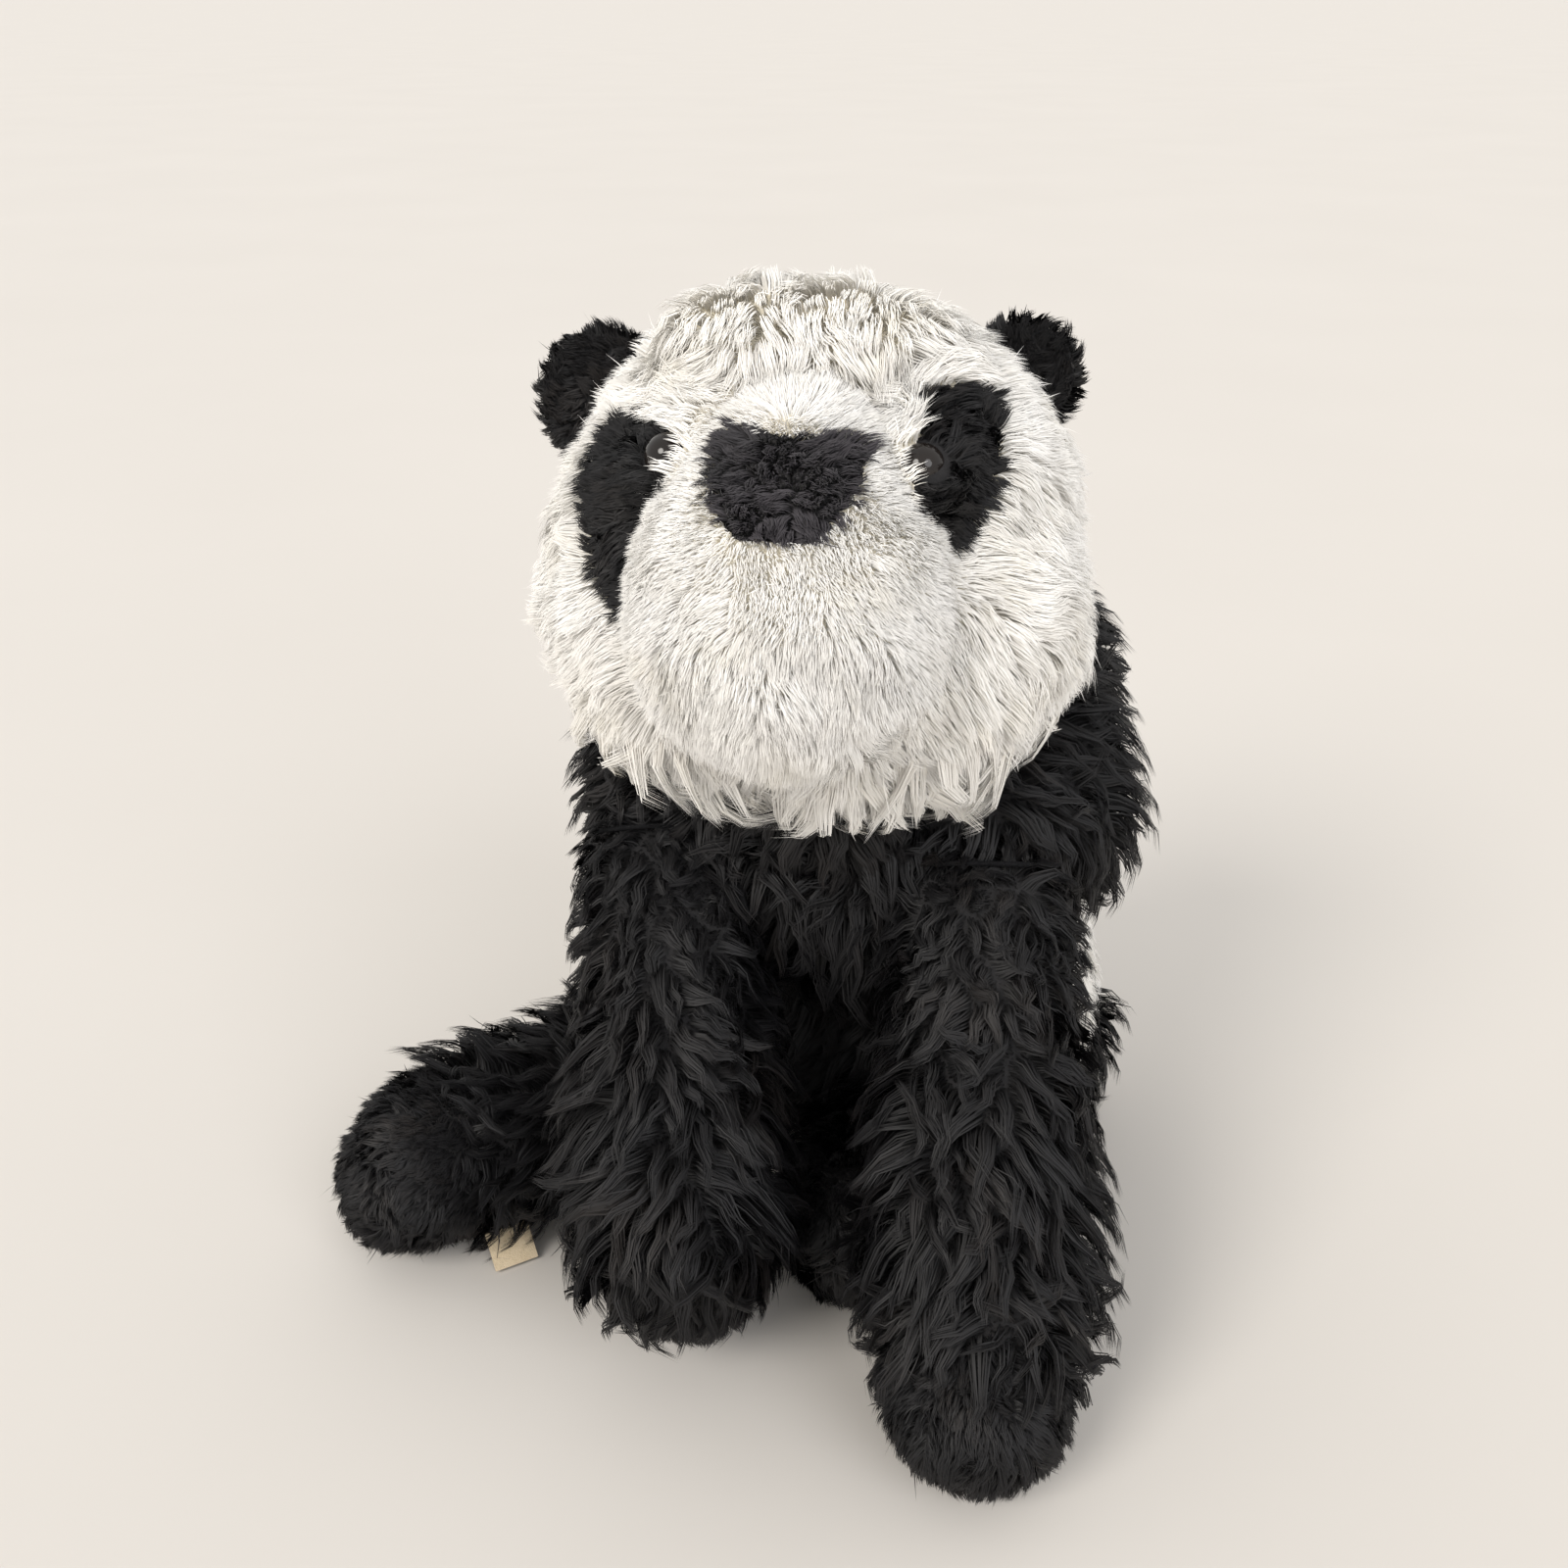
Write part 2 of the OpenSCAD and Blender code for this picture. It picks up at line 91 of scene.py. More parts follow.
def farthest(name, origin):
    """The point of a CAD node that is farthest from a place."""
    points = node_points(name)
    return points[np.argmax(np.linalg.norm(points - origin, axis=1))]


# ---------- fields: distance outside a soft form, negative inside it ----------

def waves(seed, size, count=10):
    """Smooth noise between about -1 and 1, with bumps of a size."""
    rng = np.random.default_rng(seed)
    directions = unit(rng.normal(size=(count, 3)))
    pitch = directions * (2 * math.pi / (2.2 * size)) * rng.uniform(0.7, 1.4, (count, 1))
    phases = rng.uniform(0, 2 * math.pi, count)
    return lambda p: np.sin(p @ pitch.T + phases).sum(-1) * math.sqrt(2 / count) / 1.6


def oval(centre, radii, axes=np.eye(3)):
    """An ellipsoid whose own axes are the rows of axes."""
    radii = np.array(radii, float)

    def field(p):
        q = (p - centre) @ np.array(axes).T
        near = np.linalg.norm(q / radii, axis=-1)
        slope = np.linalg.norm(q / radii ** 2, axis=-1)
        return near * (near - 1) / np.maximum(slope, 1e-6)
    return field


def limb(start, end, start_r, end_r):
    """A tapering limb with round ends."""
    run = np.asarray(end) - start

    def field(p):
        share = np.clip((p - start) @ run / (run @ run), 0, 1)
        gap = np.linalg.norm(p - start - share[..., None] * run, axis=-1)
        return gap - start_r - (end_r - start_r) * share
    return field


def merged(fields, blend):
    """Several forms grown together, with a fillet about as wide as blend."""
    def field(p):
        d = fields[0](p)
        for other in fields[1:]:
            e = other(p)
            h = np.clip(0.5 + 0.5 * (e - d) / blend, 0, 1)
            d = e * (1 - h) + d * h - blend * h * (1 - h)
        return d
    return field


def lumpy(base, seed, size, height):
    """A form with soft uneven swellings."""
    noise = waves(seed, size)
    return lambda p: base(p) - height * noise(p)


def resting(base, level):
    """A form pressed flat where it rests on the seat plane."""
    def field(p):
        below = level - p[..., 2]
        d = base(p)
        h = np.clip(0.5 + 0.5 * (below - d) / 6, 0, 1)
        return d * (1 - h) + below * h + 6 * h * (1 - h)
    return field


def outward(field, p, step=0.5):
    """Direction straight out of a form."""
    here = field(p)
    return unit(np.stack([field(p + step * axis) - here for axis in np.eye(3)], axis=-1))


# ---------- surfaces ----------

def new_mesh(name, points, faces):
    """A smooth mesh object from points in millimetres."""
    mesh = bpy.data.meshes.new(name)
    mesh.from_pydata((points * MM).tolist(), [], faces.tolist())
    mesh.polygons.foreach_set("use_smooth", [True] * len(mesh.polygons))
    mesh.update()
    piece = bpy.data.objects.new(name, mesh)
    bpy.context.scene.collection.objects.link(piece)
    return piece


def skin(field, start, end=None, detail=6, reach=160):
    """Points and triangles of a form's surface, looked for from the line between two places."""
    end = start if end is None else end
    bm = bmesh.new()
    bmesh.ops.create_icosphere(bm, subdivisions=detail, radius=1)
    ways = np.array([v.co for v in bm.verts])
    triangles = np.array([[v.index for v in f.verts] for f in bm.faces])
    bm.free()
    run = np.asarray(end, float) - start
    share = 0.5 + 0.5 * (ways @ unit(run)) if np.any(run) else np.zeros(len(ways))
    base = start + share[:, None] * run
    low, high = np.zeros(len(ways)), np.full(len(ways), float(reach))
    for _ in range(HALVINGS):
        middle = (low + high) / 2
        inside = field(base + ways * middle[:, None]) < 0
        low, high = np.where(inside, middle, low), np.where(inside, high, middle)
    return base + ways * high[:, None], triangles


def scatter(points, triangles, spacing, rng):
    """Evenly uneven places on a surface, with the way out at each."""
    a, b, c = (points[triangles[:, i]] for i in range(3))
    cross = np.cross(b - a, c - a)
    areas = np.linalg.norm(cross, axis=1) / 2
    picked = rng.choice(len(areas), int(4 * areas.sum() / spacing ** 2), p=areas / areas.sum())
    u, v = rng.random((2, len(picked), 1))
    flip = u + v > 1
    u, v = np.where(flip, 1 - u, u), np.where(flip, 1 - v, v)
    places = a[picked] + u * (b - a)[picked] + v * (c - a)[picked]
    cells = np.floor(places / spacing).astype(np.int64)
    keys = (cells[:, 0] * 73856093) ^ (cells[:, 1] * 19349663) ^ (cells[:, 2] * 83492791)
    _, first = np.unique(keys, return_index=True)
    return places[first], unit(cross[picked[first]])


def nearest(places, anchors):
    """Index of the anchor nearest to each place."""
    tree = KDTree(len(anchors))
    for i, anchor in enumerate(anchors.tolist()):
        tree.insert(anchor, i)
    tree.balance()
    return np.array([tree.find(place)[1] for place in places.tolist()])


# ---------- pile ----------

# Each kind of pile: its length and how uneven it is, how it rises at the root and at the tip in
# degrees, the spacing of its strands, locks and tufts, a strand's width and pieces, how far locks and
# tufts draw together, how the comb wavers, and the share of shading taken from the surface below.
LONG_WHITE = dict(
    length=10, uneven=0.2, rise=(76, 14), strand=0.64, lock=3.0, tuft=11, width=0.33, segments=3,
    gather=0.16, tuft_gather=0.12, wander=0.6, drift=0.12, wave=0.3, stray=0.015, even=0.94)
FLANK_WHITE = dict(LONG_WHITE, strand=0.95, width=0.44)
TAIL_WHITE = dict(LONG_WHITE, length=12)
FRINGE_WHITE = dict(
    length=29, uneven=0.4, rise=(42, 2), strand=0.75, lock=5.6, tuft=10, width=0.34, segments=4,
    gather=0.8, tuft_gather=0.35, wander=0.5, drift=0.3, wave=1.0, stray=0.01, even=0.85)
SHORT_WHITE = dict(
    length=4.2, uneven=0.15, rise=(80, 40), strand=0.5, lock=2.6, tuft=9, width=0.3, segments=3,
    gather=0.1, tuft_gather=0.12, wander=0.6, drift=0.12, wave=0.1, stray=0.01, even=0.92)
LONG_BLACK = dict(
    length=17, uneven=0.4, rise=(72, 14), strand=0.95, lock=5.2, tuft=12, width=0.42, segments=4,
    gather=0.84, tuft_gather=0.3, wander=0.9, drift=0.4, wave=2.0, stray=0.012, even=0.4)
CHEST_BLACK = dict(LONG_BLACK, strand=1.17, width=0.5)
NECK_BLACK = dict(LONG_BLACK, length=14)
SHORT_BLACK = dict(
    length=5.5, uneven=0.35, rise=(76, 30), strand=0.58, lock=2.6, tuft=8, width=0.36, segments=3,
    gather=0.4, tuft_gather=0.25, wander=0.9, drift=0.3, wave=0.3, stray=0.015, even=0.5)
EAR_BLACK = dict(SHORT_BLACK, length=4.5)
NOSE_FELT = dict(SHORT_BLACK, length=4.5, strand=0.42, rise=(70, 40))


def grow(field, roots, ways_out, comb, length, kind, rng):
    """Paths of locks: they leave the fabric steeply and lie down along the comb as they go."""
    segments = kind["segments"]
    swirl = [waves(seed, kind["tuft"]) for seed in (11, 12, 13)]
    drift = np.stack([f(roots) for f in swirl], axis=-1) + kind["drift"] * rng.normal(size=roots.shape)
    phase = rng.uniform(0, 2 * math.pi, (len(roots), 1))
    place, path = roots, [roots]
    for i in range(segments):
        out = ways_out if field is None else outward(field, place)
        lie = comb(place, out) + kind["wander"] * drift
        lie = unit(lie - (lie * out).sum(-1, keepdims=True) * out)
        share = i / (segments - 1)
        rise = math.radians(kind["rise"][0] + (kind["rise"][1] - kind["rise"][0]) * share ** 0.8)
        sway = kind["wave"] * math.sqrt(share) * np.sin(phase + 2.3 * i) * np.cross(out, lie)
        place = place + length / segments * (math.sin(rise) * out + math.cos(rise) * lie) + sway
        path.append(place)
    return np.stack(path, axis=1)


def strands(surface, field, comb, kind, seed, where=None, length_at=None):
    """Paths, ways out and tints of every strand on a surface."""
    rng = np.random.default_rng(seed)
    roots, out = scatter(*surface, kind["strand"] / math.sqrt(DENSITY), rng)
    locks, locks_out = scatter(*surface, kind["lock"], rng)
    tufts, _ = scatter(*surface, kind["tuft"], rng)
    if where is not None:
        kept = where(roots)
        roots, out = roots[kept], out[kept]
    length = kind["length"] * (1 + kind["uneven"] * rng.uniform(-1, 1, (len(locks), 1)))
    if length_at is not None:
        length = length * length_at(locks)[:, None]
    paths = grow(field, locks, locks_out, comb, length, kind, rng)
    t = np.linspace(0, 1, kind["segments"] + 1)[None, :, None]
    tuft_of = nearest(locks, tufts)
    paths = paths - (locks - tufts[tuft_of])[:, None, :] * kind["tuft_gather"] * t ** 1.5
    lock_of = nearest(roots, locks)
    aside = (roots - locks[lock_of])[:, None, :]
    path = paths[lock_of] + aside * (1 - kind["gather"] * t ** 0.9)
    reach = 1 - 0.3 * rng.random((len(roots), 1, 1)) ** 1.5
    path = roots[:, None, :] + (path - roots[:, None, :]) * reach
    stray = np.where(rng.random((len(roots), 1, 1)) < kind["stray"], 2.0, 0.35)
    path = path + t ** 2 * stray * rng.normal(size=(len(roots), 1, 3))
    path[..., 2] = np.maximum(path[..., 2], FLOOR_CLEARANCE)
    lump = 0.5 + 0.5 * waves(seed + 5, kind["tuft"] * 1.2)(roots)
    tint = 0.45 * lump + 0.35 * rng.random(len(locks))[lock_of] + 0.2 * rng.random(len(roots))
    return path, out, np.clip(tint, 0.01, 0.99)


def pile_piece(name, path, out, tint, width, even, seed):
    """One mesh of tapered ribbons. Its map holds the tint across and root to tip up. The more
    even the pile, the more its strands are shaded like the surface under them."""
    rng = np.random.default_rng(seed)
    count, rings = path.shape[0], path.shape[1] - 1
    along = unit(np.gradient(path, axis=1))
    side = unit(np.cross(along, out[:, None, :]))
    twist = rng.normal(0, 0.35, (count, 1, 1))
    side = np.cos(twist) * side + np.sin(twist) * np.cross(along, side)
    t = np.linspace(0, 1, rings + 1)
    half = (width / math.sqrt(DENSITY) / 2) * (1 - 0.6 * t[:-1] ** 1.6)[None, :, None]
    edges = np.stack([path[:, :-1] - side[:, :-1] * half, path[:, :-1] + side[:, :-1] * half], axis=2)
    points = np.concatenate([edges.reshape(count, -1, 3), path[:, -1:]], axis=1)
    points[..., 2] = np.maximum(points[..., 2], FLOOR_CLEARANCE)
    low = 2 * np.arange(rings - 1)[:, None]
    loops = np.concatenate([(low + np.array([0, 1, 3, 2])).ravel(), 2 * rings - 2 + np.arange(3)])
    sizes = np.array([4] * (rings - 1) + [3])
    vertex_loops = (loops[None, :] + (2 * rings + 1) * np.arange(count)[:, None]).ravel()
    loop_totals = np.tile(sizes, count)
    mesh = bpy.data.meshes.new(name)
    mesh.vertices.add(points.shape[0] * points.shape[1])
    mesh.vertices.foreach_set("co", (points * MM).astype(np.float32).ravel())
    mesh.loops.add(len(vertex_loops))
    mesh.loops.foreach_set("vertex_index", vertex_loops.astype(np.int32))
    mesh.polygons.add(len(loop_totals))
    loop_starts = np.cumsum(loop_totals) - loop_totals
    mesh.polygons.foreach_set("loop_start", loop_starts.astype(np.int32))
    mesh.polygons.foreach_set("use_smooth", np.ones(len(loop_totals), bool))
    ring_of = np.minimum(loops // 2, rings)
    across = np.where(loops == 2 * rings, 0.5, loops % 2) - 0.5
    uv = np.empty((count, len(loops), 2), np.float32)
    uv[..., 0] = tint[:, None] + across[None, :] * 0.012
    uv[..., 1] = (0.02 + 0.96 * t[ring_of])[None, :]
    mesh.uv_layers.new(name="OFBake").data.foreach_set("uv", uv.ravel())
    mesh.update(calc_edges=True)
    facing = unit(np.cross(side, along))
    normals = unit(even * out[:, None, :] + (1 - even) * facing)
    normals = np.concatenate([np.repeat(normals[:, :-1], 2, axis=1), normals[:, -1:]], axis=1)
    mesh.normals_split_custom_set_from_vertices(normals.reshape(-1, 3).tolist())
    piece = bpy.data.objects.new(name, mesh)
    bpy.context.scene.collection.objects.link(piece)
    return piece


# ---------- materials ----------

def new_material(name):
    """A material with its nodes, its links and its shader."""
    material = bpy.data.materials.new(name)
    material.use_nodes = True
    tree = material.node_tree
    return material, tree.nodes, tree.links, tree.nodes["Principled BSDF"]


def ramp_node(nodes, stops):
    """A colour ramp with a colour at each stop."""
    ramp = nodes.new("ShaderNodeValToRGB")
    elements = ramp.color_ramp.elements
    for i, (position, colour) in enumerate(stops):
        element = elements[i] if i < 2 else elements.new(position)
        element.position, element.color = position, (*colour, 1)
    return ramp


def pile_material(name, tints, along, roughness, sheen, specular=0.5):
    """Colour by tint column, times a root-to-tip ramp of painted shade that darkens each strand towards
    its root.
    """
    material, nodes, links, shader = new_material(name)
    uv = nodes.new("ShaderNodeUVMap")
    uv.uv_map = "OFBake"
    split = nodes.new("ShaderNodeSeparateXYZ")
    # the second ramp, read from root to tip, is painted shade deep in the pile
    across, up = ramp_node(nodes, tints), ramp_node(nodes, along)
    mix = nodes.new("ShaderNodeMix")
    mix.data_type, mix.blend_type = "RGBA", "MULTIPLY"
    mix.inputs["Factor"].default_value = 1
    links.new(uv.outputs["UV"], split.inputs["Vector"])
    links.new(split.outputs["X"], across.inputs["Fac"])
    links.new(split.outputs["Y"], up.inputs["Fac"])
    links.new(across.outputs["Color"], mix.inputs[6])
    links.new(up.outputs["Color"], mix.inputs[7])
    links.new(mix.outputs[2], shader.inputs["Base Color"])
    shader.inputs["Roughness"].default_value = roughness
    shader.inputs["Sheen Weight"].default_value = sheen
    shader.inputs["Specular IOR Level"].default_value = specular
    return material


def noise_material(name, dark, light, scale, roughness, bump=0.0, bump_scale=None, sheen=0.0,
                   specular=0.5, coat=0.0):
    """Two shades mottled together, with a fine relief."""
    material, nodes, links, shader = new_material(name)
    place = nodes.new("ShaderNodeTexCoord")
    noise = nodes.new("ShaderNodeTexNoise")
    noise.inputs["Scale"].default_value = scale
    noise.inputs["Detail"].default_value = 6
    ramp = ramp_node(nodes, [(0.3, dark), (0.7, light)])
    links.new(place.outputs["Object"], noise.inputs["Vector"])
    links.new(noise.outputs["Fac"], ramp.inputs["Fac"])
    links.new(ramp.outputs["Color"], shader.inputs["Base Color"])
    if bump:
        grain = nodes.new("ShaderNodeTexNoise")
        grain.inputs["Scale"].default_value = bump_scale
        relief = nodes.new("ShaderNodeBump")
        relief.inputs["Strength"].default_value = bump
        relief.inputs["Distance"].default_value = 0.0006
        links.new(place.outputs["Object"], grain.inputs["Vector"])
        links.new(grain.outputs["Fac"], relief.inputs["Height"])
        links.new(relief.outputs["Normal"], shader.inputs["Normal"])
    shader.inputs["Roughness"].default_value = roughness
    shader.inputs["Sheen Weight"].default_value = sheen
    shader.inputs["Specular IOR Level"].default_value = specular
    shader.inputs["Coat Weight"].default_value = coat
    return material


FULL = (1.0, 1.0, 1.0)
WHITE_TINTS = [(0.0, (0.94, 0.915, 0.85)), (0.3, (0.96, 0.945, 0.91)), (1.0, (0.978, 0.97, 0.952))]
BLACK_TINTS = [(0.0, (0.004, 0.004, 0.005)), (0.6, (0.008, 0.0075, 0.0085)), (1.0, (0.02, 0.017, 0.016))]
FELT_TINTS = [(0.0, (0.016, 0.015, 0.018)), (1.0, (0.055, 0.048, 0.056))]
# The white piles' root-to-tip stops are painted shade: cream and darker at the root, full white at the
# tip, as if shaded deep in the pile.
WHITE_PILE = pile_material(
    "white_pile", WHITE_TINTS,
    [(0.0, (0.97, 0.945, 0.89)), (0.4, (0.99, 0.98, 0.96)), (1.0, FULL)], 0.85, 0.25)
CLIPPED_PILE = pile_material(
    "clipped_white_pile", WHITE_TINTS,
    [(0.0, (0.985, 0.975, 0.95)), (0.4, (0.995, 0.99, 0.98)), (1.0, FULL)], 0.85, 0.25)
# The black pile's and the felt's root-to-tip stops are painted shade: the strands darken towards the root.
BLACK_PILE = pile_material(
    "black_pile", BLACK_TINTS, [(0.0, (0.35, 0.35, 0.35)), (0.5, (0.9, 0.9, 0.9)), (1.0, FULL)],
    0.55, 0.0, specular=0.32)
FELT_PILE = pile_material(
    "nose_felt", FELT_TINTS, [(0.0, (0.5, 0.5, 0.5)), (0.5, (0.9, 0.9, 0.9)), (1.0, FULL)], 0.7, 0.2)
# The white backing's cream is partly its own colour and partly painted shade: it is darker and yellower
# than the pile so the creases between the locks look shaded.
WHITE_CLOTH = noise_material("white_backing", (0.72, 0.66, 0.52), (0.82, 0.77, 0.65), 300, 0.9, 0.4, 1800)
BLACK_CLOTH = noise_material("black_backing", (0.008, 0.008, 0.009), (0.016, 0.015, 0.016),
                             300, 0.9, 0.4, 1800)
CALICO = noise_material("bag_calico", (0.74, 0.72, 0.66), (0.84, 0.82, 0.77), 500, 0.9, 0.6, 2600)
FILLING = noise_material("fibre_filling", (0.82, 0.82, 0.80), (0.93, 0.93, 0.92), 120, 0.9, 0.8, 700, 0.2)


# ---------- the panda's places ----------

SIDES = ("left", "right")
neck = joint_place("head_nod")
head_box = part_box("head_stuffing")
head = box_middle("head_stuffing")
head_r = (head_box[1].x - head_box[0].x) / 2 / MM
head[2] = head_box[1].z / MM - head_r
eyes = [node_points(f"eye_{side}").mean(axis=0) for side in SIDES]
EYE_RISE = math.radians(20.8)      # the eyes' height over the face's axis
face_x = unit(eyes[0] - eyes[1])
eye_way = unit((eyes[0] + eyes[1]) / 2 - head)
face_y = unit(np.cross(eye_way, face_x))
face_z = math.cos(EYE_RISE) * eye_way - math.sin(EYE_RISE) * face_y
face_y = unit(np.cross(face_z, face_x))
FACE = np.array([face_x, face_y, face_z])


def on_face(x, y, z):
    """A place given in the head's own axes: to its left, up the face, out of the face."""
    return head + np.array([x, y, z], float) @ FACE


def in_face(p):
    """A place's left, height and reach in the head's own axes."""
    return (p - head) @ FACE.T


# ---------- padded forms ----------

def rise_to(value, low, high):
    """0 below one value, 1 above the other, smooth between."""
    share = np.clip((value - low) / (high - low), 0, 1)
    return share * share * (3 - 2 * share)


paws = {side: joint_place(f"ankle_flex_{side}") for side in SIDES}
shoulders = {side: joint_place(f"shoulder_swing_{side}") for side in SIDES}
hips = {side: joint_place(f"hip_splay_{side}") for side in SIDES}

muzzle = on_face(0, -9, 50)
skull = oval(head, (63, 61, 59), FACE)
cheeks = oval(on_face(0, -17, 6), (66, 42, 50), FACE)
brow = oval(on_face(0, 49, 33), (31, 11, 12), FACE)
eye_mounds = [oval(eye - 9.6 * unit(eye - head), (12, 12, 12)) for eye in eyes]
head_form = lumpy(lumpy(merged([skull, cheeks, brow, *eye_mounds], 9), 3, 15, 1.6), 6, 7, 0.7)

snout = oval(muzzle, (35.5, 37, 34), FACE)
chin = oval(on_face(0, -22, 54), (29, 24, 25), FACE)
bridge = oval(on_face(0, 13, 47), (23, 25, 20), FACE)
muzzle_form = lumpy(merged([snout, chin, bridge], 8), 4, 8, 0.7)
neck_form = oval(neck, (31, 31, 31))

body_low = box_middle("seat_panel") * [1, 1, 0] + [0, 0, 54]
chest = neck + [9, 29, -28]
belly = limb(body_low + [5, 0, 0], body_low + [3, -6, 52], 61, 49)
breast = oval(chest, (55, 52, 54))
hump = oval(chest + [20, 22, 24], (46, 46, 46))
left_shoulder = oval(shoulders["left"] + [-2, 38, 18], (37, 37, 36))
right_shoulder = oval(shoulders["right"] + [14, 30, 15], (37, 37, 37))
torso = merged([belly, breast, left_shoulder, right_shoulder, hump], 14)
body_form = resting(lumpy(torso, 5, 22, 1.8), 1.5)


def reach_of(node, origin, radius):
    """Centre of the round end of a limb that starts at an origin."""
    tip = farthest(node, origin)
    return tip - radius * unit(tip - origin)


feet = {side: reach_of(f"hind_foot_{side}", hips[side], 28) for side in SIDES}


# ---------- combs: which way the pile lies ----------

def comb_down(p, out):
    """Straight down."""
    return np.broadcast_to(-UP, p.shape) + 0.25 * out


def comb_head(p, out):
    """Away from the muzzle, drooping at the sides, but from the crown down over the brow."""
    away = unit(p - muzzle)
    q = in_face(p)
    reach = 26 + 1.4 * np.clip(q[..., 1] - 40, 0, 20)
    front = (np.exp(-(q[..., 0] / reach) ** 4) * rise_to(q[..., 1], 24, 38))[..., None]
    return away * (1 - front) - (0.7 + 0.6 * front) * UP


def comb_fringe(p, out):
    """Straight down, and a little away from the chin."""
    return 0.35 * unit(p - muzzle) - UP


def comb_muzzle(p, out):
    """From the top of the muzzle, over the nose and down the chin."""
    away = unit(p - on_face(0, 30, 66))
    return away - 0.3 * UP


def comb_along(way, droop=0.3):
    """Along a limb, drooping."""
    return lambda p, out: np.broadcast_to(unit(way) - droop * UP, p.shape)


# ---------- pieces ----------

def fabric(name, surface, cloth, body, nodes, thickness=1.2, dark=None):
    """A padded fabric shell, with thickness. A rule can make some of it of black cloth."""
    piece = new_mesh(name, *surface)
    wall = piece.modifiers.new("wall", "SOLIDIFY")
    wall.thickness, wall.offset = thickness * MM, -1
    piece.data.materials.append(cloth)
    if dark is not None:
        piece.data.materials.append(BLACK_CLOTH)
        centres = surface[0][surface[1]].mean(axis=1)
        piece.data.polygons.foreach_set("material_index", dark(centres).astype(np.int32))
    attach(piece, body)
    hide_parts(*nodes)


def pile(names, body, material, kind, grown, region=None, nodes=()):
    """Pile pieces of one surface, one for each CAD panel that it is shared between."""
    path, out, tint = grown
    region = np.zeros(len(path), int) if region is None else region
    for i, name in enumerate(names):
        mine = region == i
        if not mine.any():
            continue
        piece = pile_piece(name, path[mine], out[mine], tint[mine], kind["width"], kind["even"], 100 + i)
        piece.data.materials.append(material)
        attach(piece, body)
        if nodes:
            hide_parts(nodes[i])


def filling(name, form, start, end, body, node, gap=2.6, detail=5):
    """The fibre filling inside a fabric shell: the shell's own form, smaller and lumpy."""
    surface = skin(lumpy(lambda p: form(p) + gap, 9, 7, 0.9), start, end, detail)
    piece = new_mesh(name, *surface)
    piece.data.materials.append(FILLING)
    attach(piece, body)
    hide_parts(node)


def nearest_node(places, names):
    """Which CAD node each place is nearest to."""
    trees = []
    for name in names:
        mesh = frame["nodes"][name].data
        points, faces = [v.co for v in mesh.vertices], [p.vertices for p in mesh.polygons]
        trees.append(BVHTree.FromPolygons(points, faces))
    gaps = [[tree.find_nearest(place)[3] for tree in trees] for place in (places * MM).tolist()]
    return np.argmin(np.array(gaps), axis=1)


# Head
HEAD_NODES = ["head_crown_panel", "head_side_panel_left", "head_side_panel_right", "chin_panel",
              "eye_patch_left", "eye_patch_right"]
head_surface = skin(head_form, head)


def off_axis(p, eye):
    """How far places are from the line through an eye."""
    return np.linalg.norm(np.cross(p - eye, unit(eye - head)), axis=-1)


def head_region(p):
    """Which panel's pile each place wears. The black reaches round each eye's outer side."""
    near = nearest_node(p, HEAD_NODES)
    for i, eye in enumerate(eyes):
        outer = np.abs(in_face(p)[..., 0]) > abs(in_face(eye)[0]) - 1
        near = np.where((off_axis(p, eye) < 8.5) & outer, 4 + i, near)
        inner = np.abs(in_face(p)[..., 0]) < abs(in_face(eye)[0]) - 2
        near = np.where((off_axis(p, eye) < 14) & inner, 0, near)
    return near


fabric("head_fabric", head_surface, WHITE_CLOTH, "head", HEAD_NODES[:4], dark=lambda p: head_region(p) > 3)
filling("head_filling", head_form, head, None, "head", "head_stuffing", detail=6)
face_low = head[2] - 20


def head_roots(p):
    """The head's pile, but not under the muzzle, in the neck's seat or on the eyes."""
    off_eyes = np.all([off_axis(p, eye) > 5.0 for eye in eyes], axis=0)
    return (muzzle_form(p) > 0.5) & (neck_form(p) > -6) & off_eyes


def head_length(p):
    """Shorter in the crease round the muzzle, longer down the cheeks and the back."""
    crease = rise_to(muzzle_form(p), 0, 9)
    return (0.4 + 0.6 * crease) * (1.3 - 0.3 * rise_to(p[:, 2], face_low - 10, face_low + 20))


def on_fringe(p):
    """Where the long locks hang under the face."""
    return head_roots(p) & (p[:, 2] < face_low - 8) & (muzzle_form(p) > 7)


white = strands(head_surface, head_form, comb_head, LONG_WHITE, 21, head_roots, head_length)
which = head_region(white[0][:, 0])
pile([n.replace("panel", "pile") for n in HEAD_NODES[:4]], "head", WHITE_PILE, LONG_WHITE,
     white, which)
fringe = strands(head_surface, head_form, comb_fringe, FRINGE_WHITE, 23, on_fringe)
pile(["head_fringe_pile"], "head", WHITE_PILE, FRINGE_WHITE, fringe)
black = strands(head_surface, head_form, comb_head, SHORT_BLACK, 22, head_roots)
which = head_region(black[0][:, 0])
pile(["eye_patch_left_pile", "eye_patch_right_pile"], "head", BLACK_PILE, SHORT_BLACK,
     black, which - 4, ["eye_patch_left", "eye_patch_right"])

# Muzzle and nose
MUZZLE_NODES = ["muzzle_panel", "nose_patch"]
muzzle_surface = skin(muzzle_form, muzzle)
nose_heights = in_face(node_points("nose_patch"))[:, 1]
nose_low, nose_high = nose_heights.min(), nose_heights.max()


def muzzle_region(p):
    """White muzzle or black nose, which sits a little high and full at its lower end."""
    high = rise_to(in_face(p)[..., 1:2], nose_low, nose_high)
    spread = (0.44 * high - 0.29) * in_face(p)[..., :1] * face_x
    return nearest_node(p + spread - 2 * face_y, MUZZLE_NODES)


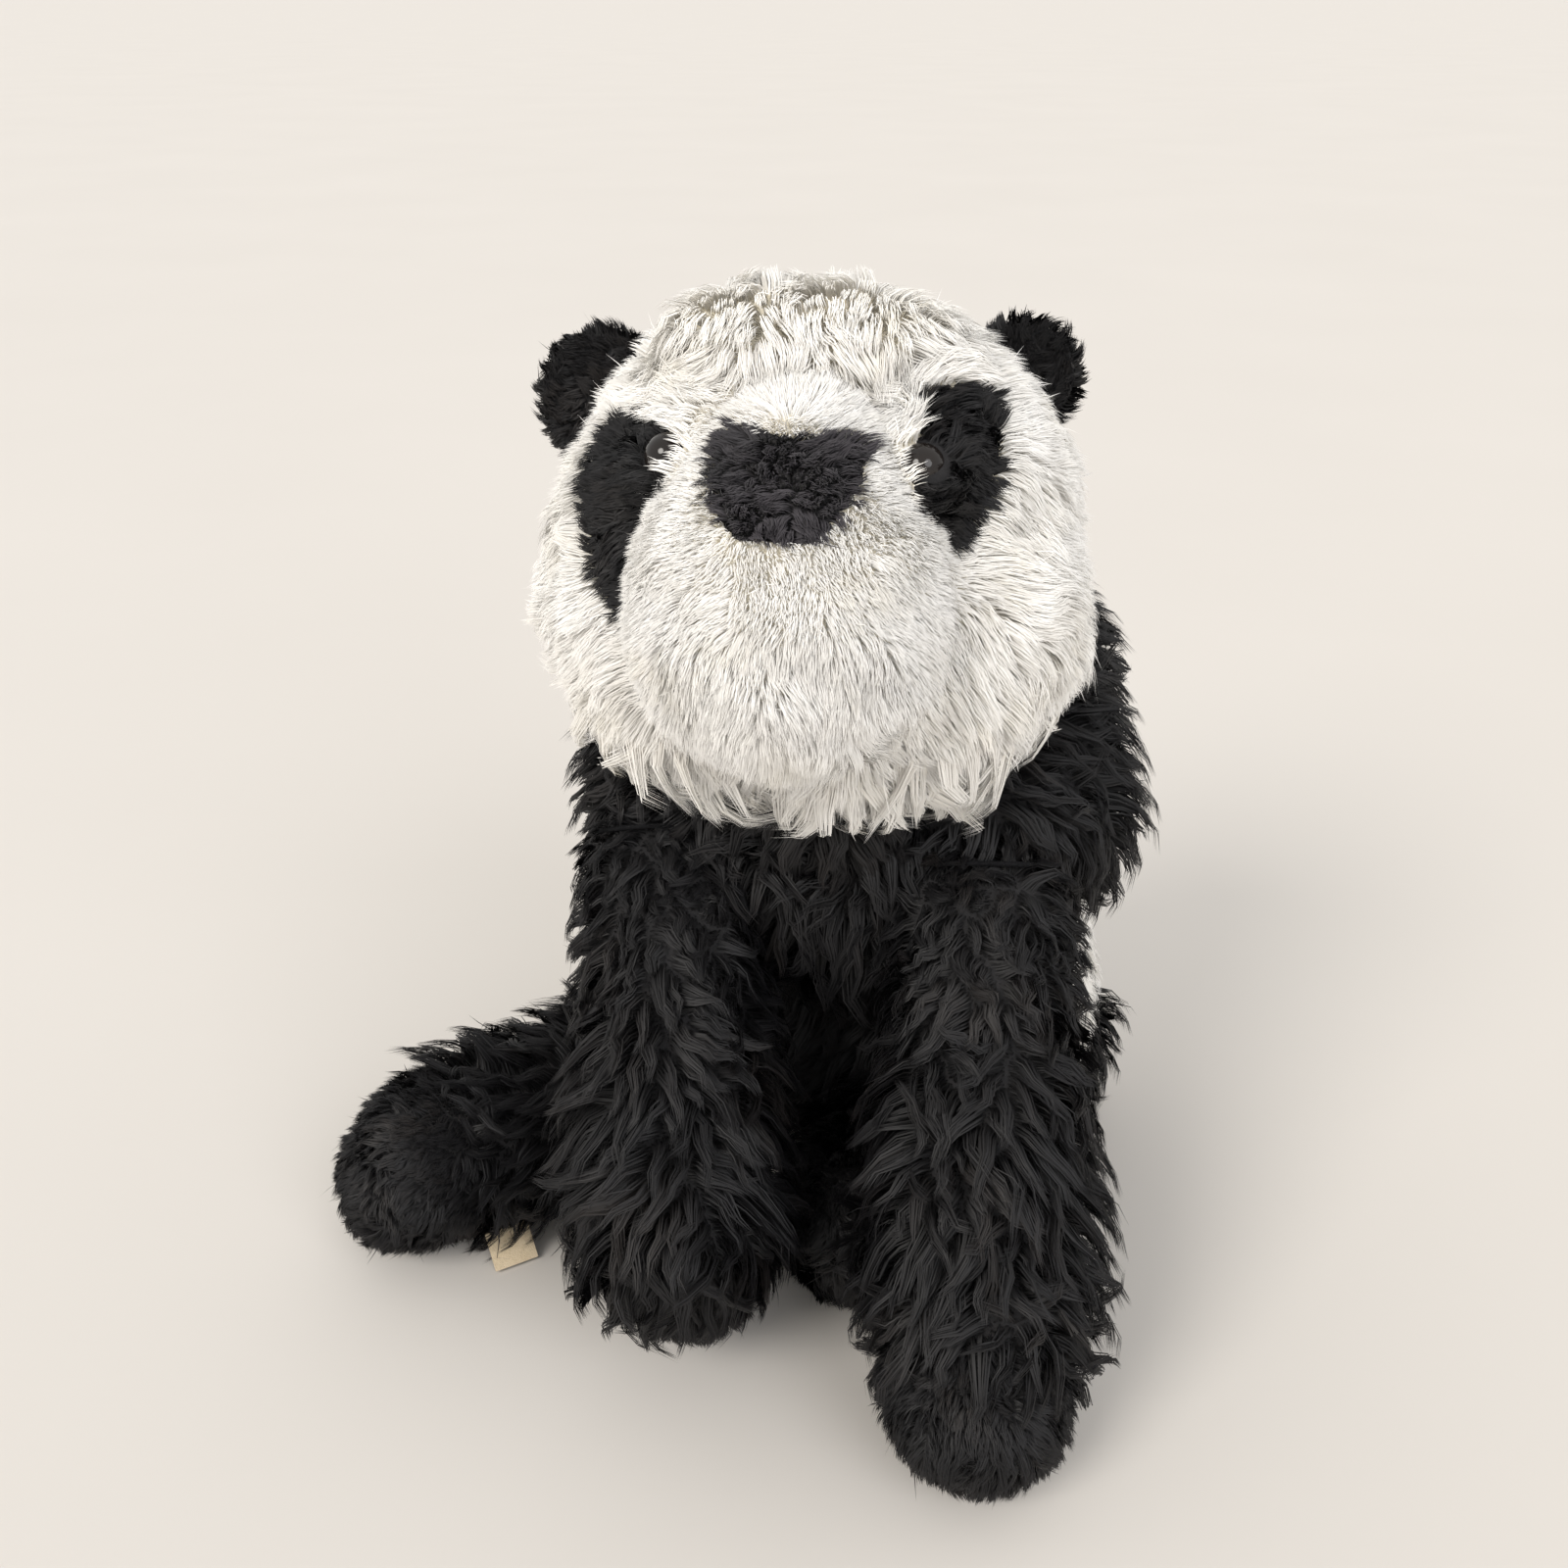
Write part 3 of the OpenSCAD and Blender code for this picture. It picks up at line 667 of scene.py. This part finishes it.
fabric("muzzle_fabric", muzzle_surface, WHITE_CLOTH, "head", ["muzzle_panel"],
       dark=lambda p: muzzle_region(p) > 0)
filling("muzzle_filling", muzzle_form, muzzle, None, "head", "muzzle_stuffing")


def muzzle_roots(p):
    """The muzzle's pile, but not inside the head."""
    return head_form(p) > -1


def muzzle_length(p):
    """Clipped short on top of the muzzle and woolly under the nose."""
    return 1 + 0.7 * rise_to(-in_face(p)[:, 1], 0, 26)


short = strands(muzzle_surface, muzzle_form, comb_muzzle, SHORT_WHITE, 31, muzzle_roots, muzzle_length)
which = muzzle_region(short[0][:, 0])
pile(["muzzle_pile"], "head", CLIPPED_PILE, SHORT_WHITE, short, which)
felt = strands(muzzle_surface, muzzle_form, comb_muzzle, NOSE_FELT, 32, muzzle_roots)
which = muzzle_region(felt[0][:, 0])
pile(["nose_pile"], "head", FELT_PILE, NOSE_FELT, felt, which - 1, ["nose_patch"])

# Ears
EAR_SIZE = dict(left=0.86, right=1.1)      # the left ear is drawn in further by its seam
EAR_SINK = dict(left=3, right=-2)
for side in SIDES:
    for layer in ("front", "back"):
        node = f"ear_{layer}_{side}"
        points = node_points(node)
        middle = points.mean(axis=0)
        points = middle + EAR_SIZE[side] * (points - middle) - EAR_SINK[side] * unit(middle - head)
        mesh = frame["nodes"][node].data
        triangles = np.array([list(p.vertices)[:3] for p in mesh.polygons])
        surface = (points, triangles)
        piece = new_mesh(f"ear_fabric_{layer}_{side}", *surface)
        melt = piece.modifiers.new("melt", "REMESH")
        melt.mode, melt.voxel_size = "VOXEL", 1.1 * MM
        soften = piece.modifiers.new("soften", "SMOOTH")
        soften.iterations = 6
        piece.data.materials.append(BLACK_CLOTH)
        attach(piece, f"ear_{side}")
        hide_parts(node)
        grown = strands(surface, None, lambda p, out, c=middle: unit(p - head) + 0.4 * unit(p - c),
                        EAR_BLACK, 41)
        pile([f"ear_pile_{layer}_{side}"], f"ear_{side}", BLACK_PILE, EAR_BLACK, grown)

# Neck
neck_surface = skin(neck_form, neck, detail=5)
fabric("neck_fabric", neck_surface, BLACK_CLOTH, "neck", ["neck_collar"])
filling("neck_filling", neck_form, neck, None, "neck", "neck_stuffing")
grown = strands(neck_surface, neck_form, comb_down, NECK_BLACK, 51,
                lambda p: (head_form(p) > -3) & (body_form(p) > -3))
pile(["neck_pile"], "neck", BLACK_PILE, NECK_BLACK, grown)

# Body
body_surface = skin(body_form, body_low, chest)
BODY_NODES = ["body_panel_left", "body_panel_right", "chest_panel", "shoulder_panel"]
belly_front = body_low[1] - 30


def body_region(p):
    """Which panel's pile each place wears: the two flanks, the chest or the shoulders."""
    near = nearest_node(p, BODY_NODES)
    return np.where((near < 2) & (p[:, 1] < belly_front), 2, near)


fabric("body_fabric", body_surface, WHITE_CLOTH, "body", BODY_NODES, dark=lambda p: body_region(p) > 1)
filling("body_filling", body_form, body_low, chest, "body", "body_stuffing", detail=6)


def body_roots(p):
    """The body's pile, but not in the neck's seat, under the seat or where the hind legs come out."""
    off_hips = np.all([limb(hips[side], feet[side], 25, 24)(p) > -1 for side in SIDES], axis=0)
    return (neck_form(p) > -3) & (p[:, 2] > 4) & off_hips


white = strands(body_surface, body_form, comb_down, FLANK_WHITE, 61, body_roots)
which = body_region(white[0][:, 0])
pile(["body_pile_left", "body_pile_right"], "body", WHITE_PILE, FLANK_WHITE, white, which)
black = strands(body_surface, body_form, comb_down, CHEST_BLACK, 62, body_roots)
which = body_region(black[0][:, 0])
pile(["chest_pile", "shoulder_pile"], "body", BLACK_PILE, CHEST_BLACK, black, which - 2)

# Seat panel and pellet bag
seat_low, seat_high = (np.array(corner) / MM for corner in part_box("seat_panel"))
seat_middle = (seat_low + seat_high) / 2
seat_half = (seat_high - seat_low) / 2 * [1, 1, 1.3]
seat_form = resting(lumpy(oval(seat_middle - [0, 0, 0.5], seat_half), 65, 14, 0.5), FLOOR_CLEARANCE)
fabric("seat_fabric", skin(seat_form, seat_middle, detail=5), WHITE_CLOTH, "body", ["seat_panel"])


def inflated(name, surface, pinned, pressure=4, cap=4, frames=20):
    """A cushion filled out by a short cloth simulation; its pinned seam stays where it is."""
    piece = new_mesh(name, *surface)
    start = surface[0] * MM
    seam = piece.vertex_groups.new(name="seam")
    seam.add(np.flatnonzero(pinned(surface[0])).tolist(), 1.0, "REPLACE")
    cloth = piece.modifiers.new("fill", "CLOTH")
    cloth.settings.vertex_group_mass = "seam"
    cloth.settings.use_pressure = True
    cloth.settings.uniform_pressure_force = pressure
    cloth.settings.effector_weights.gravity = 0
    for step in range(1, frames + 1):
        bpy.context.scene.frame_set(step)
    filled = piece.evaluated_get(bpy.context.evaluated_depsgraph_get()).to_mesh()
    co = np.empty(len(start) * 3)
    filled.vertices.foreach_get("co", co)
    piece.modifiers.clear()
    move = co.reshape(-1, 3) - start
    size = np.linalg.norm(move, axis=1, keepdims=True)
    move *= np.minimum(1, cap * MM / np.maximum(size, 1e-9))
    piece.data.vertices.foreach_set("co", (start + move).ravel())
    piece.data.update()
    bpy.context.scene.frame_set(1)
    return piece


bag_low, bag_high = (np.array(corner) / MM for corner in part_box("pellet_bag"))
bag_middle, bag_half = (bag_low + bag_high) / 2, (bag_high - bag_low) / 2
bag_surface = skin(oval(bag_middle, bag_half * [0.98, 0.98, 0.8]), bag_middle, detail=5)
bag = inflated("pellet_bag_cloth", bag_surface, lambda p: np.abs(p[:, 2] - bag_middle[2]) < 1.2)
bag.data.materials.append(CALICO)
bag.modifiers.new("smooth", "SUBSURF").levels = 1
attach(bag, "body")
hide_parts("pellet_bag")

# Legs and paws
for i, side in enumerate(SIDES):
    start, end = shoulders[side], paws[side]
    way = end - start
    form = lumpy(limb(start, end, 22, 24), 71 + i, 14, 1.6)
    surface = skin(form, start, end)
    fabric(f"foreleg_fabric_{side}", surface, BLACK_CLOTH, f"foreleg_{side}", [f"foreleg_pelt_{side}"])
    filling(f"foreleg_filling_{side}", form, start, end, f"foreleg_{side}", f"foreleg_stuffing_{side}")

    def shoulder_clip(p, start=start, way=unit(way)):
        """Shorter pile where the foreleg comes out of the shoulder."""
        return 0.6 + 0.5 * rise_to((p - start) @ way, 10, 60)
    grown = strands(surface, form, comb_along(way), LONG_BLACK, 73 + i, None, shoulder_clip)
    pile([f"foreleg_pile_{side}"], f"foreleg_{side}", BLACK_PILE, LONG_BLACK, grown)

    toe = reach_of(f"forepaw_pelt_{side}", end, 25)
    form = resting(lumpy(limb(end, toe, 20, 24), 75 + i, 12, 0.8), 1)
    surface = skin(form, end, toe)
    fabric(f"forepaw_fabric_{side}", surface, BLACK_CLOTH, f"forepaw_{side}", [f"forepaw_pelt_{side}"])
    filling(f"forepaw_filling_{side}", form, end, toe, f"forepaw_{side}", f"forepaw_stuffing_{side}")
    grown = strands(surface, form, comb_along(toe - end), SHORT_BLACK, 77 + i)
    pile([f"forepaw_pile_{side}"], f"forepaw_{side}", BLACK_PILE, SHORT_BLACK, grown)

    start = hips[side]
    end = feet[side]
    way = unit(end - start)
    form = resting(lumpy(limb(start, end + 5 * way, 25, 24), 81 + i, 16, 1.2), 1)
    surface = skin(form, start, end)
    fabric(f"hind_leg_fabric_{side}", surface, BLACK_CLOTH, f"hind_leg_{side}",
           [f"hind_leg_pelt_{side}", f"hind_foot_{side}"])
    filling(f"hind_leg_filling_{side}", form, start, end, f"hind_leg_{side}", f"hind_leg_stuffing_{side}")

    def on_foot(p, end=end, way=way):
        """Where the leg's long pile ends and the foot's short pile starts."""
        return (p - end) @ way > -8
    grown = strands(surface, form, comb_along(way), LONG_BLACK, 83 + i,
                    lambda p: ~on_foot(p) & (body_form(p) > 0.5))
    pile([f"hind_leg_pile_{side}"], f"hind_leg_{side}", BLACK_PILE, LONG_BLACK, grown)
    grown = strands(surface, form, comb_along(way), SHORT_BLACK, 85 + i, on_foot)
    pile([f"hind_foot_pile_{side}"], f"hind_leg_{side}", BLACK_PILE, SHORT_BLACK, grown)

# Tail
tail_root = joint_place("tail_lift")
tail_tip = reach_of("tail_pelt", tail_root, 12)
form = limb(tail_root, tail_tip, 8, 10)
surface = skin(form, tail_root, tail_tip, detail=5)
fabric("tail_fabric", surface, WHITE_CLOTH, "tail", ["tail_pelt"])
filling("tail_filling", form, tail_root, tail_tip, "tail", "tail_stuffing", gap=2)
grown = strands(surface, form, comb_along(tail_tip - tail_root), TAIL_WHITE, 91)
pile(["tail_pile"], "tail", WHITE_PILE, TAIL_WHITE, grown)

# Closing stitches: each CAD stitch moved straight onto the body's fabric
points = node_points("closing_stitches")
faces = np.array([p.vertices for p in frame["nodes"]["closing_stitches"].data.polygons])
_, same = np.unique(np.round(points, 2), axis=0, return_inverse=True)
same = same.reshape(-1)
stitch_of = np.arange(same.max() + 1)
LINK_ROUNDS = 60      # passes in which touching triangles agree on one stitch
for _ in range(LINK_ROUNDS):
    lowest = stitch_of[same[faces]].min(axis=1, keepdims=True)
    np.minimum.at(stitch_of, same[faces], np.repeat(lowest, faces.shape[1], axis=1))
stitch_of = stitch_of[same]
for stitch in np.unique(stitch_of):
    mine = stitch_of == stitch
    middle = points[mine].mean(axis=0)
    points[mine] -= (body_form(middle) - 0.5) * outward(body_form, middle)
closing_thread = new_mesh("closing_thread", points, faces)
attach(closing_thread, "body")
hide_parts("closing_stitches")


# ---------- the CAD pieces that stay ----------

def give(material, *names):
    """Put a material on CAD nodes."""
    for name in names:
        node = frame["nodes"][name]
        node.data.materials.clear()
        node.data.materials.append(material)


glossy = noise_material("eye_black", (0.008, 0.007, 0.007), (0.016, 0.012, 0.01), 60, 0.08,
                        specular=0.35, coat=0.15)
nylon = noise_material("washer_nylon", (0.78, 0.78, 0.77), (0.86, 0.86, 0.85), 200, 0.45)
dark_thread = noise_material("dark_thread", (0.004, 0.004, 0.005), (0.009, 0.009, 0.01),
                             900, 0.9, 0.6, 2400, specular=0.15)
pale_thread = noise_material("pale_thread", (0.75, 0.72, 0.64), (0.86, 0.83, 0.76), 900, 0.7, 0.6, 2400)
pellet = noise_material("pellet_plastic", (0.7, 0.74, 0.8), (0.82, 0.85, 0.9), 150, 0.35)
tape = noise_material("label_tape", (0.62, 0.5, 0.33), (0.72, 0.6, 0.42), 700, 0.6, 0.5, 2400)
give(glossy, "eye_left", "eye_right")
give(nylon, "eye_washer_left", "eye_washer_right")
give(dark_thread, "neck_seam", *(f"{root}_seam_{side}" for root in ("shoulder", "hip") for side in SIDES))
closing_thread.data.materials.append(pale_thread)
give(pellet, "pellets")
give(tape, "blank_label")


# ---------- floor, light and camera ----------

bpy.ops.mesh.primitive_plane_add(size=300)
floor = bpy.context.object
floor.name = "floor"
floor.data.materials.append(noise_material("table_top", (0.655, 0.625, 0.585), (0.67, 0.64, 0.6), 3, 0.7))


def soft_sun(name, towards, power, colour, spread):
    """Even light from a wide window, the same over the whole table."""
    lamp = bpy.data.lights.new(name, "SUN")
    lamp.energy, lamp.color, lamp.angle = power, colour, math.radians(spread)
    light = bpy.data.objects.new(name, lamp)
    light.rotation_euler = Vector(towards).to_track_quat("-Z", "Y").to_euler()
    bpy.context.scene.collection.objects.link(light)


# Two wide windows behind the viewer, and a pale room
soft_sun("window_left", (0.6, 1.0, -0.9), 1.75, (1.0, 0.955, 0.9), 25)
soft_sun("window_right", (-0.8, 0.9, -0.8), 0.95, (0.96, 0.965, 1.0), 35)
world = bpy.data.worlds.new("room")
world.use_nodes = True
world.node_tree.nodes["Background"].inputs["Color"].default_value = (0.95, 0.935, 0.915, 1)
world.node_tree.nodes["Background"].inputs["Strength"].default_value = 0.85
bpy.context.scene.world = world
bpy.context.scene.view_settings.view_transform = "Standard"

# A little above the head, looking down, as near as the photo was taken
camera_data = bpy.data.cameras.new("camera")
camera_data.lens, camera_data.sensor_width = 36, 36
camera = bpy.data.objects.new("camera", camera_data)
camera.location = (0.047, -0.428, 0.364)
camera.rotation_euler = (math.radians(63), 0, math.radians(10))
bpy.context.scene.collection.objects.link(camera)
bpy.context.scene.camera = camera
